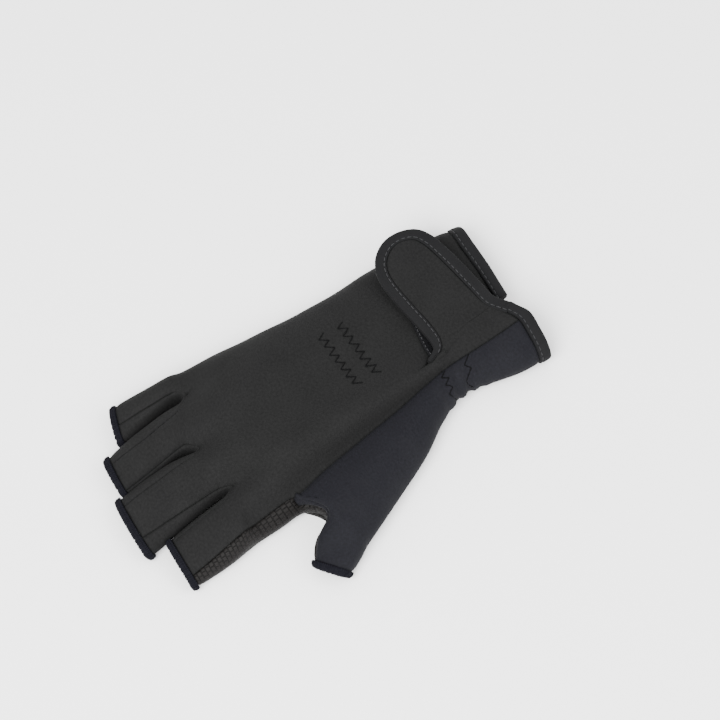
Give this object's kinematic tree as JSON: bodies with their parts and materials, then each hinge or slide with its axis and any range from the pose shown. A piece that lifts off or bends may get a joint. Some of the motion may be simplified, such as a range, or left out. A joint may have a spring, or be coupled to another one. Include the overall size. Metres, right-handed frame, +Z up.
{
  "type": "half-finger fishing glove",
  "caption": "Right-hand neoprene fishing glove with open finger ends, textured grip palm and a wrist strap that closes over a slit cuff",
  "frame": {"origin": "centre of the palm on the surface under the glove", "axes": "+Y runs from the cuff to the fingers, +X to the little-finger side, +Z up out of the back of the hand"},
  "size_m": [0.1377, 0.2182, 0.026],
  "materials": {
    "neoprene_black": "jersey-faced neoprene, matte",
    "neoprene_navy": "jersey-faced neoprene, matte",
    "palm_weave": "rubberised basket weave, matte",
    "overlock_thread": "overlocked thread edge",
    "binding_tape": "smooth stretch tape",
    "loop_pile": "brushed loop pile",
    "hook_tape": "moulded hook tape"
  },
  "bodies": {
    "root": {"back_panel": "neoprene_black", "palm_panel": "palm_weave", "thumb_panel": "neoprene_navy", "index_middle_fourchette": "neoprene_black", "middle_ring_fourchette": "neoprene_black", "ring_little_fourchette": "neoprene_black", "index_hem": "overlock_thread", "middle_hem": "overlock_thread", "ring_hem": "overlock_thread", "little_hem": "overlock_thread", "thumb_hem": "overlock_thread", "cuff_binding": "binding_tape", "wrist_strap": "neoprene_black", "strap_binding": "binding_tape", "loop_patch": "loop_pile", "hook_patch": "hook_tape"}
  },
  "joints": []
}
